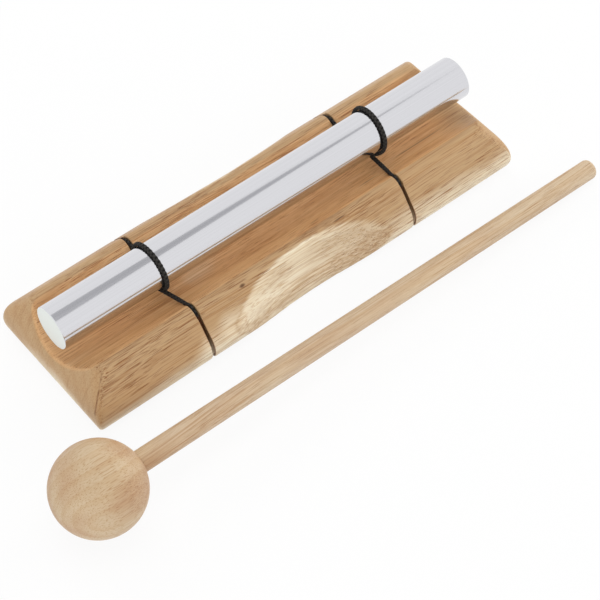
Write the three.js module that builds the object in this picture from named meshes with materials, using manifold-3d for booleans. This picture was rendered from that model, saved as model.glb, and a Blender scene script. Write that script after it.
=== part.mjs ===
// A chime bar: a polished aluminium rod slung in two elastic cords over a hardwood base, with its mallet.
// Millimetres, +Z up. The origin is the middle of the base's underside, +X runs along the bar.

import * as THREE from 'three';
import { mergeVertices } from 'three/addons/utils/BufferGeometryUtils.js';
import Module from 'manifold-3d';

const degrees = THREE.MathUtils.degToRad;
const mix = THREE.MathUtils.lerp;

// Gap between pieces that touch, and how far a cutter passes the wood.
const clearance = 0.3;
const overrun = 2;

// The bar: one solid rod with its edges just broken.
const barDiameter = 19;
const barLength = 209;
const barRise = 7.3;
const barEdgeBreak = 0.5;
const barSides = 64;

// The base: a low block with vertical feet, sides and ends that lean in, and eased edges.
const baseLength = 217.6;
const baseWidth = 69.7;
const baseHeight = 23.6;
const footRadius = 5.4;
const footWall = 0.9;
const sideKneeRadius = 10.8;
const sideLean = degrees(38.4);
const endKneeRadius = 17;
const endLean = degrees(33.7);
const shoulderRadius = 5;
// Corner radii at the foot, by hand: far rear, near rear, near front, far front. Each grows to the crest's.
const hipRadii = [1.2, 4, 1.2, 1.6];
const crestCornerRadius = 5;
const leastCornerRadius = 0.8;
const arcSteps = 5;
const cornerSteps = 6;
const leastRingStep = 0.12;

// The cove: a shallow trough under the whole bar, with rounded lips just inside the crests. It is deep
// enough to leave the cords room to bounce.
const coveInset = 1.7;
const bounceRoom = 1.5;
const coveLipRadius = 4;
const coveSteps = 14;
const lipSteps = 3;

// The finger scoops: one in the middle of each long side, cut by a wide drum that leans inward.
const scoopRadius = 154;
const scoopFootDepth = 2.9;
const scoopLean = degrees(17);
const scoopReach = 30;
const scoopSteps = 26;

// The kerfs: saw cuts down both sides and across the underside, with a pocket for the knot.
const kerfSpacing = 106;
const kerfWidth = 2;
const kerfFloor = 4;
const kerfInset = 0.7;
const kerfCrestDepth = 2.6;
const kerfLean = degrees(29.8);
const kerfCornerRadius = 4.5;
const kerfSteps = 6;
const pocketDiameter = 14;
const pocketDepth = 7;
const pocketSides = 32;

// The cords: braided elastic, pinched flat where the kerfs grip it.
const cordDiameter = 2;
const cordPinchedHeight = 2.2;
const cordSelfGap = 0.6;
const cordSides = 8;
const cordRimBend = 4.6;
const knotLap = 1.5;
// Shares of a free strand, from rim to bar, at which it has rings, and the kerf's grip on it there.
const strandShares = [0.1, 0.2, 0.3, 0.5, 0.75];
const strandGripShares = [1, 0.5, 0, 0, 0];
const loopSteps = 24;
// Sideways lead of the turn round the bar, in cord diameters, at equal steps of the turn.
const loopLeadShares = [0.12, 0.75, 1.5, 1.72, 1.82, 1.9, 1.97, 2, 2.02, 2.05, 2.05, 1.8, 1.28];
// Where the turn lifts off the bar, and where it has passed under the cord's first strand.
const loopLiftShare = 0.68;
const loopCrossShare = 0.9;

// The mallet: a turned ball on a tapered dowel, lying in front of the base.
const headDiameter = 38.1;
const headX = -128.9;
const headY = -63.6;
const headSides = 40;
const stickReach = 261.5;
const stickHeadDiameter = 9.2;
const stickTipDiameter = 8.8;
const stickTipRadius = 2;
const stickYaw = degrees(1.04);
const stickSides = 32;
const tenonDiameter = 7;
const tenonHoleDepth = 18;
const seatSink = 0.3;

const wasm = await Module();
wasm.setup();

// Closed geometry to solid, and back.
function toSolid(geometry) {
  const bare = new THREE.BufferGeometry();
  bare.setAttribute('position', geometry.getAttribute('position').clone());
  bare.setIndex(geometry.getIndex());
  const merged = mergeVertices(bare);
  return new wasm.Manifold(new wasm.Mesh({
    numProp: 3,
    vertProperties: Float32Array.from(merged.getAttribute('position').array),
    triVerts: Uint32Array.from(merged.getIndex().array),
  }));
}

function toGeometry(solid) {
  const mesh = solid.getMesh();
  const geometry = new THREE.BufferGeometry();
  geometry.setAttribute('position', new THREE.BufferAttribute(mesh.vertProperties, 3));
  geometry.setIndex(new THREE.BufferAttribute(mesh.triVerts, 1));
  geometry.computeVertexNormals();
  return geometry;
}

// Closed skin through rings of equally many points, each ring counter-clockwise seen from the last one.
function skinRings(rings) {
  const count = rings[0].length;
  const points = rings.flat();
  const first = points.length;
  const last = first + 1;
  points.push(middle(rings[0]), middle(rings[rings.length - 1]));
  const faces = [];
  rings.forEach((ring, level) => {
    for (let i = 0; i < count; i += 1) {
      const next = (i + 1) % count;
      const here = level * count;
      const above = here + count;
      if (level === 0) faces.push(first, next, i);
      if (level === rings.length - 1) faces.push(last, here + i, here + next);
      else faces.push(here + i, here + next, above + next, here + i, above + next, above + i);
    }
  });
  const geometry = new THREE.BufferGeometry().setFromPoints(points);
  geometry.setIndex(faces);
  geometry.computeVertexNormals();
  return geometry;
}

function middle(ring) {
  const sum = ring.reduce((total, point) => total.add(point), new THREE.Vector3());
  return sum.divideScalar(ring.length);
}

// Points on an arc in a plane, both ends included.
function arc(centreX, centreY, radius, from, to, steps) {
  return Array.from({ length: steps + 1 }, (_, i) => {
    const angle = mix(from, to, i / steps);
    return new THREE.Vector2(centreX + radius * Math.cos(angle), centreY + radius * Math.sin(angle));
  });
}

// A bar of constant cross-section along X: the outline's x is world Y, its y is world Z.
function alongX(shape, length) {
  const geometry = new THREE.ExtrudeGeometry(shape, { depth: length, bevelEnabled: false });
  geometry.translate(0, 0, -length / 2);
  const turn = new THREE.Matrix4().makeBasis(
    new THREE.Vector3(0, 1, 0),
    new THREE.Vector3(0, 0, 1),
    new THREE.Vector3(1, 0, 0),
  );
  return geometry.applyMatrix4(turn);
}

// How far a side or an end stands out from the middle at height z: a rounded foot, a short wall,
// a knee, a straight lean and a rounded shoulder, each tangent to the next.
const kneeHeight = footRadius + footWall;

function standOut(z, half, kneeRadius, lean) {
  if (z < footRadius) {
    return half - footRadius + Math.sqrt(footRadius ** 2 - (footRadius - z) ** 2);
  }
  if (z <= kneeHeight) return half;
  const kneeTop = kneeHeight + kneeRadius * Math.sin(lean);
  if (z <= kneeTop) return half - kneeRadius + Math.sqrt(kneeRadius ** 2 - (z - kneeHeight) ** 2);
  const leanHalf = half - kneeRadius * (1 - Math.cos(lean));
  const leanTop = baseHeight - shoulderRadius * (1 - Math.sin(lean));
  if (z <= leanTop) return leanHalf - (z - kneeTop) * Math.tan(lean);
  const centre = leanHalf - (leanTop - kneeTop) * Math.tan(lean) - shoulderRadius * Math.cos(lean);
  const rise = z - (baseHeight - shoulderRadius);
  return centre + Math.sqrt(Math.max(0, shoulderRadius ** 2 - rise ** 2));
}

const sideAt = (z) => standOut(z, baseWidth / 2, sideKneeRadius, sideLean);
const endAt = (z) => standOut(z, baseLength / 2, endKneeRadius, endLean);
const crestHalf = sideAt(baseHeight);

// The cord's centre line winds at these distances from the bar's axis, first against the bar and then
// under its own first strand. The bar's axis lies above the crests, and the cove clears the lowest cord.
const cordRadius = cordDiameter / 2;
const wrapRadius = barDiameter / 2 + clearance + cordRadius;
const crossRadius = wrapRadius + cordDiameter + cordSelfGap;
const barAxisHeight = baseHeight + barRise;
const coveDepth = crossRadius + cordRadius + bounceRoom - barRise;

// Heights of the base's rings: every step of the foot, of both knees and of both shoulders.
function ringHeights() {
  const quarter = Math.PI / 2;
  const heights = [];
  for (let i = 0; i <= arcSteps; i += 1) {
    const share = i / arcSteps;
    heights.push(footRadius * (1 - Math.cos(quarter * share)));
    heights.push(kneeHeight + sideKneeRadius * Math.sin(sideLean * share));
    heights.push(kneeHeight + endKneeRadius * Math.sin(endLean * share));
    heights.push(baseHeight - shoulderRadius * (1 - Math.sin(mix(sideLean, quarter, share))));
    heights.push(baseHeight - shoulderRadius * (1 - Math.sin(mix(endLean, quarter, share))));
  }
  heights.sort((a, b) => a - b);
  return heights.filter((z, i) => i === 0 || z - heights[i - 1] > leastRingStep || z === baseHeight)
    .filter((z, i, kept) => i === 0 || z !== kept[i - 1]);
}

// One ring of the base: a rectangle with round corners, which reach the same radius at the crest.
function baseRing(z) {
  const halfX = endAt(z);
  const halfY = sideAt(z);
  const inset = z < footRadius ? baseWidth / 2 - halfY : 0;
  return [[1, 1], [-1, 1], [-1, -1], [1, -1]].flatMap(([signX, signY], corner) => {
    const wanted = mix(hipRadii[corner], crestCornerRadius, (z / baseHeight) ** 2) - inset;
    const radius = Math.max(leastCornerRadius, wanted);
    const from = corner * Math.PI / 2;
    const x = signX * (halfX - radius);
    const y = signY * (halfY - radius);
    return arc(x, y, radius, from, from + Math.PI / 2, cornerSteps)
      .map((point) => new THREE.Vector3(point.x, point.y, z));
  });
}

// The cove's cutter: one wide arc that runs out over two rounded lips.
function coveCutter() {
  const halfWidth = crestHalf - coveInset;
  const radius = (halfWidth ** 2 + coveDepth ** 2) / (2 * coveDepth);
  const centreZ = baseHeight - coveDepth + radius;
  const lipZ = baseHeight - coveLipRadius;
  const lipY = Math.sqrt((radius + coveLipRadius) ** 2 - (centreZ - lipZ) ** 2);
  const lean = Math.atan2(centreZ - lipZ, lipY);
  const right = arc(lipY, lipZ, coveLipRadius, Math.PI / 2, Math.PI - lean, lipSteps);
  const trough = arc(0, centreZ, radius, -lean, lean - Math.PI, coveSteps).slice(1, -1);
  const left = right.map((point) => new THREE.Vector2(-point.x, point.y)).reverse();
  const lid = [
    new THREE.Vector2(-lipY, baseHeight + overrun),
    new THREE.Vector2(lipY, baseHeight + overrun),
  ];
  const shape = new THREE.Shape([...right, ...trough, ...left, ...lid]);
  return toSolid(alongX(shape, baseLength + overrun * 2));
}

// A finger scoop's cutter for the front side: a slice of a drum whose axis leans in over the base.
function scoopCutter() {
  const tall = baseHeight * 2 + scoopReach;
  const halfSpan = Math.sqrt(2 * scoopRadius * scoopReach) / 2;
  const half = Math.asin(halfSpan / scoopRadius);
  const rim = arc(0, -scoopRadius, scoopRadius, Math.PI / 2 + half, Math.PI / 2 - half, scoopSteps);
  const shape = new THREE.Shape([
    ...rim,
    new THREE.Vector2(halfSpan, -scoopReach),
    new THREE.Vector2(-halfSpan, -scoopReach),
  ]);
  const geometry = new THREE.ExtrudeGeometry(shape, { depth: tall, bevelEnabled: false });
  geometry.translate(0, 0, -tall / 2);
  const turn = new THREE.Matrix4().makeBasis(
    new THREE.Vector3(1, 0, 0),
    new THREE.Vector3(0, Math.cos(scoopLean), -Math.sin(scoopLean)),
    new THREE.Vector3(0, Math.sin(scoopLean), Math.cos(scoopLean)),
  );
  turn.setPosition(0, scoopFootDepth - baseWidth / 2, 0);
  return geometry.applyMatrix4(turn);
}

// The cord's centre line keeps this distance from the wood at the kerf's floor, and bends over the rim
// on a radius that leaves the free strand some length.
const kerfSeat = clearance + cordPinchedHeight / 2;
const rimBend = Math.min(cordRimBend, (crestHalf + barRise - crossRadius) / 2);
const rimCore = rimBend - kerfSeat;

// The wood that a kerf leaves standing: straight sides that lean less than the base's, round lower
// corners, a flat underside and a round rim that the kerf sinks below the crest. The cord follows this
// outline at the kerf's floor.
const coreY = crestHalf - kerfInset;
const coreRun = (baseHeight - kerfFloor - kerfCornerRadius * (1 + Math.sin(kerfLean)))
  / Math.cos(kerfLean);
const coreCorner = new THREE.Vector2(
  coreY + coreRun * Math.sin(kerfLean) - kerfCornerRadius * Math.cos(kerfLean),
  kerfFloor + kerfCornerRadius,
);

const rimZ = baseHeight - kerfCrestDepth - rimCore;
const rimCentre = new THREE.Vector2(
  coreY - (rimCore - (baseHeight - rimZ) * Math.sin(kerfLean)) / Math.cos(kerfLean),
  rimZ,
);

// Rise of a taut strand from the bar to the rim, tangent to both.
function strandRise(radius) {
  const fall = barAxisHeight - rimCentre.y;
  const span = Math.hypot(rimCentre.x, fall);
  return Math.asin((radius + rimBend) / span) - Math.atan2(fall, rimCentre.x);
}

const riseIn = strandRise(wrapRadius);
const riseOut = strandRise(crossRadius);

function kerfCutter() {
  const rim = arc(rimCentre.x, rimCentre.y, rimCore, kerfLean, Math.PI / 2 + riseOut, kerfSteps);
  const rimEnd = rim[rim.length - 1];
  const right = [
    ...arc(coreCorner.x, coreCorner.y, kerfCornerRadius, -Math.PI / 2, kerfLean, kerfSteps),
    ...rim,
    new THREE.Vector2(wrapRadius, rimEnd.y - (rimEnd.x - wrapRadius) * Math.tan(riseOut)),
  ];
  const left = right.map((point) => new THREE.Vector2(-point.x, point.y)).reverse();
  const reach = baseWidth / 2 + overrun;
  const shape = new THREE.Shape([
    new THREE.Vector2(-reach, -overrun),
    new THREE.Vector2(reach, -overrun),
    new THREE.Vector2(reach, baseHeight + overrun * 2),
    new THREE.Vector2(-reach, baseHeight + overrun * 2),
  ]);
  shape.holes.push(new THREE.Path([...right, ...left]));
  const pocket = new THREE.CylinderGeometry(
    pocketDiameter / 2,
    pocketDiameter / 2,
    pocketDepth + overrun,
    pocketSides,
  );
  pocket.rotateX(Math.PI / 2);
  pocket.translate(0, 0, (pocketDepth - overrun) / 2);
  return toSolid(alongX(shape, kerfWidth)).add(toSolid(pocket));
}

function makeBase() {
  const scoop = scoopCutter();
  const kerf = kerfCutter();
  return toGeometry(
    toSolid(skinRings(ringHeights().map(baseRing)))
      .subtract(coveCutter())
      .subtract(toSolid(scoop))
      .subtract(toSolid(scoop.clone().rotateZ(Math.PI)))
      .subtract(kerf.translate([kerfSpacing / 2, 0, 0]))
      .subtract(kerf.translate([-kerfSpacing / 2, 0, 0])),
  );
}

function makeBar() {
  const radius = barDiameter / 2;
  const half = barLength / 2;
  const geometry = new THREE.LatheGeometry([
    new THREE.Vector2(0, -half),
    new THREE.Vector2(radius - barEdgeBreak, -half),
    new THREE.Vector2(radius, barEdgeBreak - half),
    new THREE.Vector2(radius, half - barEdgeBreak),
    new THREE.Vector2(radius - barEdgeBreak, half),
    new THREE.Vector2(0, half),
  ], barSides);
  return geometry.rotateZ(-Math.PI / 2);
}

// A point of the route: out is the distance outward from the kerf, pinch is 1 where the kerf grips the cord.
const at = (out, y, z, pinch) => ({ out, y, z, pinch });

// From the knot up one side to the start of the free strand. The side is 1 at the rear and -1 at the front.
function kerfRoute(side, rise) {
  const lap = side * (cordDiameter + cordSelfGap) / 2;
  const low = kerfFloor - kerfSeat;
  const pocket = pocketDiameter / 2;
  const route = [
    at(lap, -knotLap, low, 0),
    at(lap, 0, low, 0),
    at(lap, knotLap, low, 0),
    at(lap / 2, mix(knotLap, pocket - cordRadius, 1 / 2), low, 0),
    at(0, pocket - cordRadius, low, 0),
    at(0, pocket + cordRadius, low, 1),
    at(0, mix(pocket, coreCorner.x, 1 / 2), low, 1),
  ];
  arc(coreCorner.x, coreCorner.y, kerfCornerRadius + kerfSeat, -Math.PI / 2, kerfLean, kerfSteps)
    .forEach((point) => route.push(at(0, point.x, point.y, 1)));
  arc(rimCentre.x, rimCentre.y, rimBend, kerfLean, Math.PI / 2 + rise, kerfSteps)
    .forEach((point) => route.push(at(0, point.x, point.y, 1)));
  return route.map((point) => ({ ...point, y: side * point.y }));
}

// Once round the bar: under it from the rear, up the front, over, down the rear and under its first strand.
function loopRoute() {
  const leads = new THREE.SplineCurve(
    loopLeadShares.map((share, i) => new THREE.Vector2(i, share * cordDiameter)),
  );
  return Array.from({ length: loopSteps + 1 }, (_, i) => {
    const share = i / loopSteps;
    const angle = riseIn - share * (Math.PI * 2 + riseIn + riseOut);
    const lift = THREE.MathUtils.smoothstep(share, loopLiftShare, loopCrossShare);
    const radius = mix(wrapRadius, crossRadius, lift);
    return at(
      leads.getPoint(share).y,
      radius * Math.sin(angle),
      barAxisHeight - radius * Math.cos(angle),
      0,
    );
  });
}

// The points of a straight strand between the rim and the bar. The kerf's grip ends where the strand
// comes out of the wood.
function strandBetween(rim, bar) {
  return strandShares.map((share, i) => at(
    mix(rim.out, bar.out, share),
    mix(rim.y, bar.y, share),
    mix(rim.z, bar.z, share),
    strandGripShares[i],
  ));
}

function cordRoute() {
  const rear = kerfRoute(1, riseIn);
  const loop = loopRoute();
  const front = kerfRoute(-1, riseOut);
  return [
    ...rear,
    ...strandBetween(rear[rear.length - 1], loop[0]),
    ...loop,
    ...strandBetween(front[front.length - 1], loop[loop.length - 1]).reverse(),
    ...front.reverse(),
  ];
}

// One unbroken tube along the route, for the end of the bar that side gives: 1 far, -1 near.
function makeCord(route, side) {
  const centres = route.map(({ out, y, z }) => new THREE.Vector3(side * (kerfSpacing / 2 + out), y, z));
  const rings = centres.map((centre, i) => {
    const before = centres[Math.max(0, i - 1)];
    const after = centres[Math.min(centres.length - 1, i + 1)];
    const forward = after.clone().sub(before).normalize();
    const across = new THREE.Vector3(1, 0, 0).addScaledVector(forward, -forward.x).normalize();
    const outward = new THREE.Vector3().crossVectors(forward, across);
    const { pinch } = route[i];
    const halfAcross = mix(cordRadius, kerfWidth / 2 - clearance, pinch);
    const halfOutward = mix(cordRadius, cordPinchedHeight / 2, pinch);
    return arc(0, 0, 1, 0, Math.PI * 2, cordSides).slice(1).map((spot) => centre.clone()
      .addScaledVector(across, halfAcross * spot.x)
      .addScaledVector(outward, halfOutward * spot.y));
  });
  return skinRings(rings);
}

// Least gap between parts of the cord that are more than a few diameters apart along it.
function leastSelfGap(route) {
  const line = new THREE.CatmullRomCurve3(route.map(({ out, y, z }) => new THREE.Vector3(out, y, z)));
  const length = line.getLength();
  const spots = line.getSpacedPoints(Math.ceil(length / (cordDiameter / 4)));
  const skip = Math.ceil(cordDiameter * 4 / (length / (spots.length - 1)));
  let least = Infinity;
  for (let i = 0; i < spots.length; i += 1) {
    for (let j = i + skip; j < spots.length; j += 1) {
      least = Math.min(least, spots[i].distanceTo(spots[j]));
    }
  }
  return { gap: least - cordDiameter, length };
}

// The mallet's lathe profiles run along Y from the middle of the ball.
const headRadius = headDiameter / 2;
const holeDiameter = tenonDiameter + clearance * 2;
const seatDiameter = stickHeadDiameter + clearance * 2;
const seatPlace = Math.sqrt(headRadius ** 2 - (seatDiameter / 2) ** 2) - seatSink;
const holeFloor = seatPlace - tenonHoleDepth;
// The slope at which the ball and the round of the tip both touch the ground.
const tipArm = Math.hypot(stickReach - stickTipRadius, stickTipDiameter / 2 - stickTipRadius);
const tipAngle = Math.atan2(stickTipDiameter / 2 - stickTipRadius, stickReach - stickTipRadius);
const stickSlope = Math.asin((headRadius - stickTipRadius) / tipArm) - tipAngle;

function makeHead() {
  const ball = new THREE.SphereGeometry(headRadius, headSides, Math.round(headSides * 2 / 3));
  const boreLength = headRadius + overrun;
  const hole = new THREE.CylinderGeometry(holeDiameter / 2, holeDiameter / 2, boreLength, stickSides);
  hole.translate(0, holeFloor + boreLength / 2, 0);
  const seat = new THREE.CylinderGeometry(seatDiameter / 2, seatDiameter / 2, overrun, stickSides);
  seat.translate(0, seatPlace + overrun / 2, 0);
  return toGeometry(toSolid(ball).subtract(toSolid(hole)).subtract(toSolid(seat)));
}

function makeStick() {
  const tip = stickTipDiameter / 2;
  return new THREE.LatheGeometry([
    new THREE.Vector2(0, holeFloor + clearance),
    new THREE.Vector2(tenonDiameter / 2, holeFloor + clearance),
    new THREE.Vector2(tenonDiameter / 2, seatPlace + clearance),
    new THREE.Vector2(stickHeadDiameter / 2, seatPlace + clearance),
    ...arc(tip - stickTipRadius, stickReach - stickTipRadius, stickTipRadius, 0, Math.PI / 2, arcSteps),
    new THREE.Vector2(0, stickReach),
  ], stickSides);
}

function named(name, geometry, look) {
  const mesh = new THREE.Mesh(geometry, new THREE.MeshStandardMaterial(look));
  mesh.name = name;
  return mesh;
}

const route = cordRoute();
const { gap, length } = leastSelfGap(route);
console.log(`each cord is ${length.toFixed(1)} mm long, least gap to itself ${gap.toFixed(2)} mm`);

const bar = named('chime_bar', makeBar(), { color: '#d9dbe2', roughness: 0.16, metalness: 1 });
bar.position.set(0, 0, barAxisHeight);

const cordLook = { color: '#17171a', roughness: 0.85, metalness: 0 };

const mallet = new THREE.Group();
mallet.add(
  named('mallet_head', makeHead(), { color: '#d8b286', roughness: 0.5, metalness: 0 }),
  named('mallet_stick', makeStick(), { color: '#d0a97b', roughness: 0.5, metalness: 0 }),
);
mallet.position.set(headX, headY, headRadius);
mallet.quaternion.setFromUnitVectors(
  new THREE.Vector3(0, 1, 0),
  new THREE.Vector3(
    Math.cos(stickSlope) * Math.cos(stickYaw),
    Math.cos(stickSlope) * Math.sin(stickYaw),
    -Math.sin(stickSlope),
  ),
);

const chimeBar = new THREE.Group();
chimeBar.add(
  named('wooden_base', makeBase(), { color: '#c99a66', roughness: 0.55, metalness: 0 }),
  bar,
  named('near_cord', makeCord(route, -1), cordLook),
  named('far_cord', makeCord(route, 1), cordLook),
  mallet,
);

export default chimeBar;
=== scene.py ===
"""A chime bar on its hardwood base, with its mallet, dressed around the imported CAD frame."""

import math

import bmesh
import bpy
import numpy as np
from mathutils import Matrix, Vector


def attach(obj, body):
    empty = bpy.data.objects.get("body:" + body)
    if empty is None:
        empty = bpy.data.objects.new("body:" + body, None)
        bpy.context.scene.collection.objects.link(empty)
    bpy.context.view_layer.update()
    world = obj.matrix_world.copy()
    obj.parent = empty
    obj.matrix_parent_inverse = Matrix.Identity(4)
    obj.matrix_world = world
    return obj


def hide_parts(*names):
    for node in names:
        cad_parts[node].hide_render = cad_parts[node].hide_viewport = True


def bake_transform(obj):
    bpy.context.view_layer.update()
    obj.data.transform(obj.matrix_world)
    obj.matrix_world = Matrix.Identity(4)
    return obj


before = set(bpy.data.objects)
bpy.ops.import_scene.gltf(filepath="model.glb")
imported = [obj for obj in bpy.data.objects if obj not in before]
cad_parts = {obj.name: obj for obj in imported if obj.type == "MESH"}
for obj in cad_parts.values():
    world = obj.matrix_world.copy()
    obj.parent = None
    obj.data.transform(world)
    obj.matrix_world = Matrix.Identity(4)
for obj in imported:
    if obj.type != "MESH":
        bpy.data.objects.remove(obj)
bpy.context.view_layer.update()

MM = 0.001
QUARTER = math.pi / 2

# The photograph's camera, fitted to the object. The lens and the sensor are in millimetres.
CAMERA_TARGET = Vector((-6.96, -32.21, 0.0)) * MM
CAMERA_AZIMUTH = math.radians(-39.065)
CAMERA_ELEVATION = math.radians(53.208)
CAMERA_ROLL = math.radians(-0.217)
CAMERA_DISTANCE = 785.1 * MM
CAMERA_LENS = 114.95
SENSOR = 36.0

# The base, as in the CAD source.
BASE_LENGTH = 217.6 * MM
BASE_WIDTH = 69.7 * MM
BASE_HEIGHT = 23.6 * MM
FOOT_RADIUS = 5.4 * MM
KNEE_HEIGHT = 6.3 * MM
SIDE_KNEE_RADIUS = 10.8 * MM
SIDE_LEAN = math.radians(38.4)
END_KNEE_RADIUS = 17.0 * MM
END_LEAN = math.radians(33.7)
SHOULDER_RADIUS = 5.0 * MM
FAR_REAR_HIP = 1.2 * MM
NEAR_REAR_HIP = 4.0 * MM
NEAR_FRONT_HIP = 1.2 * MM
FAR_FRONT_HIP = 1.6 * MM
CREST_CORNER_RADIUS = 5.0 * MM
CREST_HALF = 21.7 * MM
COVE_INSET = 1.7 * MM
COVE_DEPTH = 8.6 * MM
COVE_LIP_RADIUS = 4.0 * MM
SCOOP_RADIUS = 154.0 * MM
SCOOP_FOOT_DEPTH = 2.9 * MM
SCOOP_LEAN = math.radians(17.0)
KERF_SPACING = 106.0 * MM
KERF_WIDTH = 2.0 * MM
KERF_FLOOR = 4.0 * MM
KERF_INSET = 0.7 * MM
KERF_CREST_DEPTH = 2.6 * MM
KERF_LEAN = math.radians(29.8)
KERF_CORNER_RADIUS = 4.5 * MM
POCKET_RADIUS = 7.0 * MM
POCKET_DEPTH = 7.0 * MM

# The bar and the cords, as in the CAD source.
CLEARANCE = 0.3 * MM
BAR_RADIUS = 9.5 * MM
BAR_LENGTH = 209.0 * MM
BAR_AXIS_HEIGHT = 30.9 * MM
CORD_DIAMETER = 2.0 * MM
CORD_RADIUS = CORD_DIAMETER / 2
CORD_PINCHED_HEIGHT = 2.2 * MM
CORD_SELF_GAP = 0.6 * MM
CORD_RIM_BEND = 4.6 * MM
STRAND_SHARES = [0.1, 0.2, 0.3, 0.5, 0.75]
STRAND_GRIP_SHARES = [1, 0.5, 0, 0, 0]
LOOP_STEPS = 24
LOOP_LEAD_SHARES = [0.12, 0.75, 1.5, 1.72, 1.82, 1.9, 1.97, 2.0, 2.02, 2.05, 2.05, 1.8, 1.28]
LOOP_LIFT_SHARE = 0.68
LOOP_CROSS_SHARE = 0.9
KNOT_LAP = 1.5 * MM
ARC_STEPS = 6

# Finer than the source: one sharper crest corner, eased cuts, kerfs that close to a slit at the surface, and
# cords that hug the bar more closely than the clearance.
SHARP_CREST_RADIUS = 1.8 * MM
SCOOP_EASING = 0.5 * MM
KERF_EASING = 0.35 * MM
SLIT_WIDTH = 1.3 * MM
SLIT_LIP = 1.1 * MM
SLIT_TOP = 22.0 * MM
SLIT_FOOT = 1.0 * MM
SLIT_FADE = 3.0 * MM
BAR_EDGE_RADIUS = 0.45 * MM
CORD_PINCHED_WIDTH = 1.5 * MM
CORD_HUG_RADIUS = 10.45 * MM
CORD_CROSS_RADIUS = 12.8 * MM
CORD_HUG_FLATTENING = 0.12

# The grid that the base is carved on. Its spans are (start, end, step) in millimetres.
GRID_ALONG = [
    (0, 46, 1.0), (46, 51.4, 0.9), (51.4, 54.6, 0.32), (54.6, 62, 0.9), (62, 94, 2.0), (94, 110.4, 0.7),
]
GRID_ACROSS = [(0, 17, 0.9), (17, 36.4, 0.6)]
GRID_UP = (-1.0, 25.0, 0.61)
SLOPE_STEP = 0.02 * MM
SETTLE_STEPS = 6
LEAST_SLOPE_SQUARE = 0.05
LEAST_MOVE = 1e-12
WELD_REACH = 0.001 * MM

# Detail that only the scene has.
BAR_SIDES = 128
BALL_SIDES = 96
BALL_STEPS = 60
BALL_ROOM = 0.05 * MM
STICK_SIDES = 64
EASING_STEPS = 4
BALL_EASING_STEPS = 3
STICK_EASING_STEPS = 6
SMALL_EASING = 0.25 * MM
CORD_STEP = 0.2 * MM
CORD_SIDES = 36
BRAID_STRANDS = 2
BRAID_PITCH = 1.8 * MM
BRAID_WIDTH_SHARE = 0.9
BRAID_CROWN_SHARE = 0.65
BRAID_OVER_SHARE = 0.35
BRAID_DEPTH = 0.36
CAP_CROWN = 0.5

# The mallet, as in the CAD source.
HEAD_RADIUS = 19.05 * MM
HEAD_X = -128.9 * MM
HEAD_Y = -63.6 * MM
STICK_REACH = 261.5 * MM
STICK_HEAD_RADIUS = 4.6 * MM
STICK_TIP_RADIUS = 4.4 * MM
STICK_TIP_ROUND = 2.0 * MM
STICK_YAW = math.radians(1.04)
TENON_RADIUS = 3.5 * MM
TENON_HOLE_DEPTH = 18.0 * MM
SEAT_SINK = 0.3 * MM

# Tones as they show on screen, 0 to 255.
BASE_HEART = (191, 158, 117)
# The cove's tone is lighter and more orange than the heart's: painted bounce light for the cove in the bar's
# shade.
COVE_BOUNCE_TONE = (231, 185, 133)
# The pale tone is the sanded scoops' own, and at the foot it is painted light bounced up from the floor.
BASE_PALE = (241, 230, 205)
MALLET_PALE = (204, 181, 149)
MALLET_TAN = (192, 161, 128)
STICK_PALE = (214, 196, 170)
BAR_GREY = (215, 215, 219)
BAR_SILVER = (219, 219, 223)
FACE_SILVER = (233, 238, 234)
# The braid's crowns are painted lighter, as sheen, and its valleys stay near black, as shade.
CORD_BLACK = (8, 8, 8)
CORD_CROWN_SHEEN = (58, 56, 54)
CORD_FUZZ = (70, 68, 66)
# A brown painted on the cord low in the kerfs, as the shade of the kerf walls.
KERF_SHADE_BROWN = (78, 46, 28)

# Tints are the shares of red, green and blue that a full stain or painted shade leaves. An amount is how far
# a stain or shade goes.
BAND_TINT, BAND_AMOUNT = (0.90, 0.78, 0.64), 0.35
RING_TINT, BASE_RINGS, MALLET_RINGS = (0.88, 0.76, 0.62), 0.25, 0.38
LINE_TINT, LINE_AMOUNT = (0.76, 0.61, 0.46), 0.8
VEIN_TINT, VEIN_AMOUNT = (0.66, 0.48, 0.33), 0.45
STROKE_TINT, STROKE_AMOUNT = (0.62, 0.42, 0.27), 0.55
PORE_TINT, PORE_AMOUNT = (0.50, 0.30, 0.18), 0.95
RAY_TINT, RAY_AMOUNT = (0.80, 0.68, 0.54), 0.5
FLECK_TINT, FLECK_AMOUNTS = (0.72, 0.58, 0.46), (0.25, 0.08)
FIBRE_TINT = (0.88, 0.79, 0.68)
MARK_TINT = (0.25, 0.17, 0.13)
CRACK_TINT = (0.42, 0.28, 0.20)
# The kerf tint is painted brown shade in the kerfs and on their lips.
KERF_SHADE_TINT = (0.32, 0.18, 0.11)
MALLET_PORES = 0.4

# Noises are a scale, in cycles per millimetre along X, Y and Z, and a detail.
NOISE_MIDDLE = 0.5
DRIFT_NOISE = ((0.006, 0.02, 0.02), 1.0)
FIBRE_NOISE = ((0.04, 1.9, 1.9), 4.0)
VEIN_NOISE = ((0.006, 0.5, 0.5), 1.0)
PORE_NOISE = ((0.075, 4.2, 4.2), 1.0)
DRAWN_NOISE = ((0.004, 2.6, 2.6), 3.0)
POLISH_NOISE = ((0.02, 0.05, 0.05), 2.0)
BRAID_NOISE = ((4.0, 4.0, 4.0), 3.0)

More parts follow.
